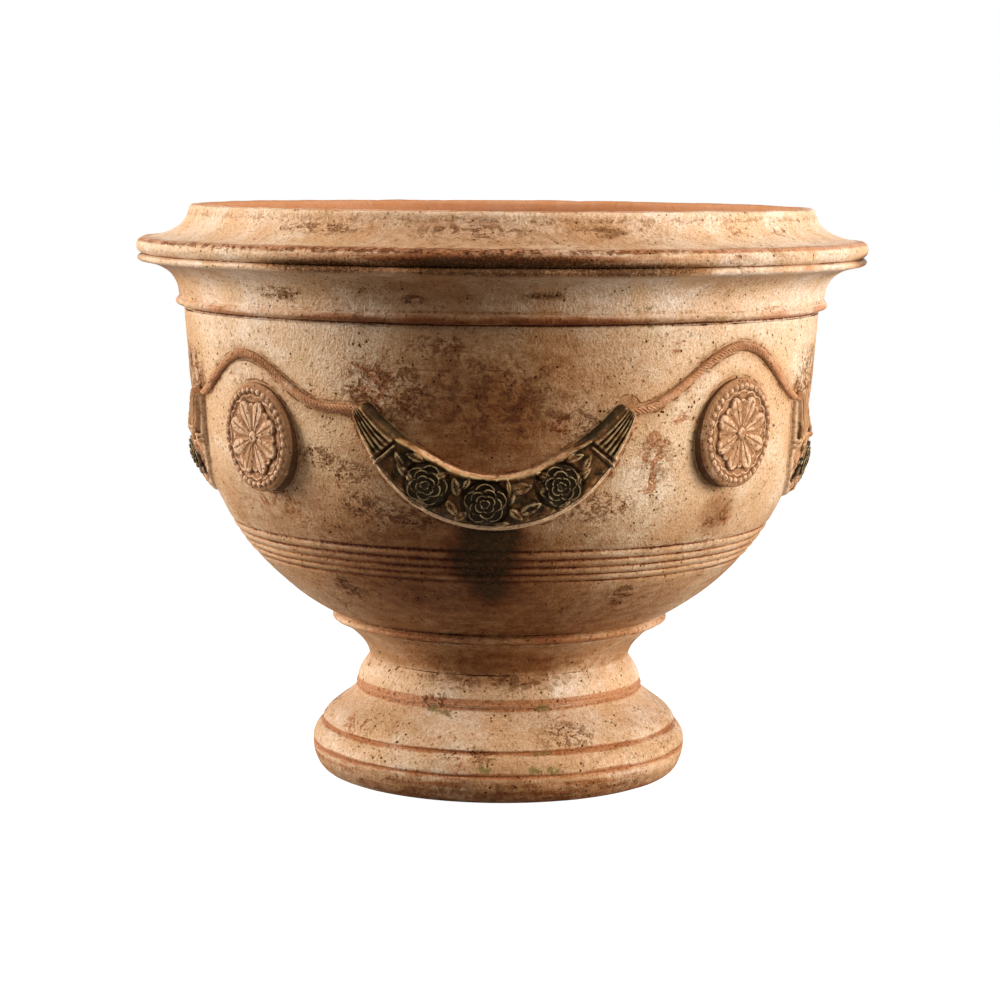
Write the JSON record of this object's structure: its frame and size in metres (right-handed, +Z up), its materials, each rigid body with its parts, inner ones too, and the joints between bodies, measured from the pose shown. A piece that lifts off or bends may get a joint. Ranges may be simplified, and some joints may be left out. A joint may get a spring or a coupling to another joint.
{
  "type": "urn planter",
  "caption": "Pedestal urn planter of glazed terracotta with a moulded cornice, rose garlands, oval medallions and arched cords, on a hollow foot with a drain hole.",
  "frame": {"origin": "centre of the ring that the foot stands on", "axes": "+Z up along the urn's turning axis, the front garland faces -Y, +X to the right seen from the front"},
  "size_m": [0.725, 0.725, 0.567],
  "materials": {
    "cream_slip": "satin, worn",
    "terracotta": "matt, worn",
    "dark_glaze": "gloss"
  },
  "bodies": {
    "root": {"foot": "cream_slip", "bowl": "cream_slip", "collar": "cream_slip", "garland_front": "dark_glaze", "garland_right": "dark_glaze", "garland_back": "dark_glaze", "garland_left": "dark_glaze", "rose_front_left": "dark_glaze", "rose_front_middle": "dark_glaze", "rose_front_right": "dark_glaze", "rose_right_left": "dark_glaze", "rose_right_middle": "dark_glaze", "rose_right_right": "dark_glaze", "rose_back_left": "dark_glaze", "rose_back_middle": "dark_glaze", "rose_back_right": "dark_glaze", "rose_left_left": "dark_glaze", "rose_left_middle": "dark_glaze", "rose_left_right": "dark_glaze", "cord_front_right": "terracotta", "cord_back_right": "terracotta", "cord_back_left": "terracotta", "cord_front_left": "terracotta", "medallion_front_right": "terracotta", "medallion_back_right": "terracotta", "medallion_back_left": "terracotta", "medallion_front_left": "terracotta"}
  },
  "joints": []
}
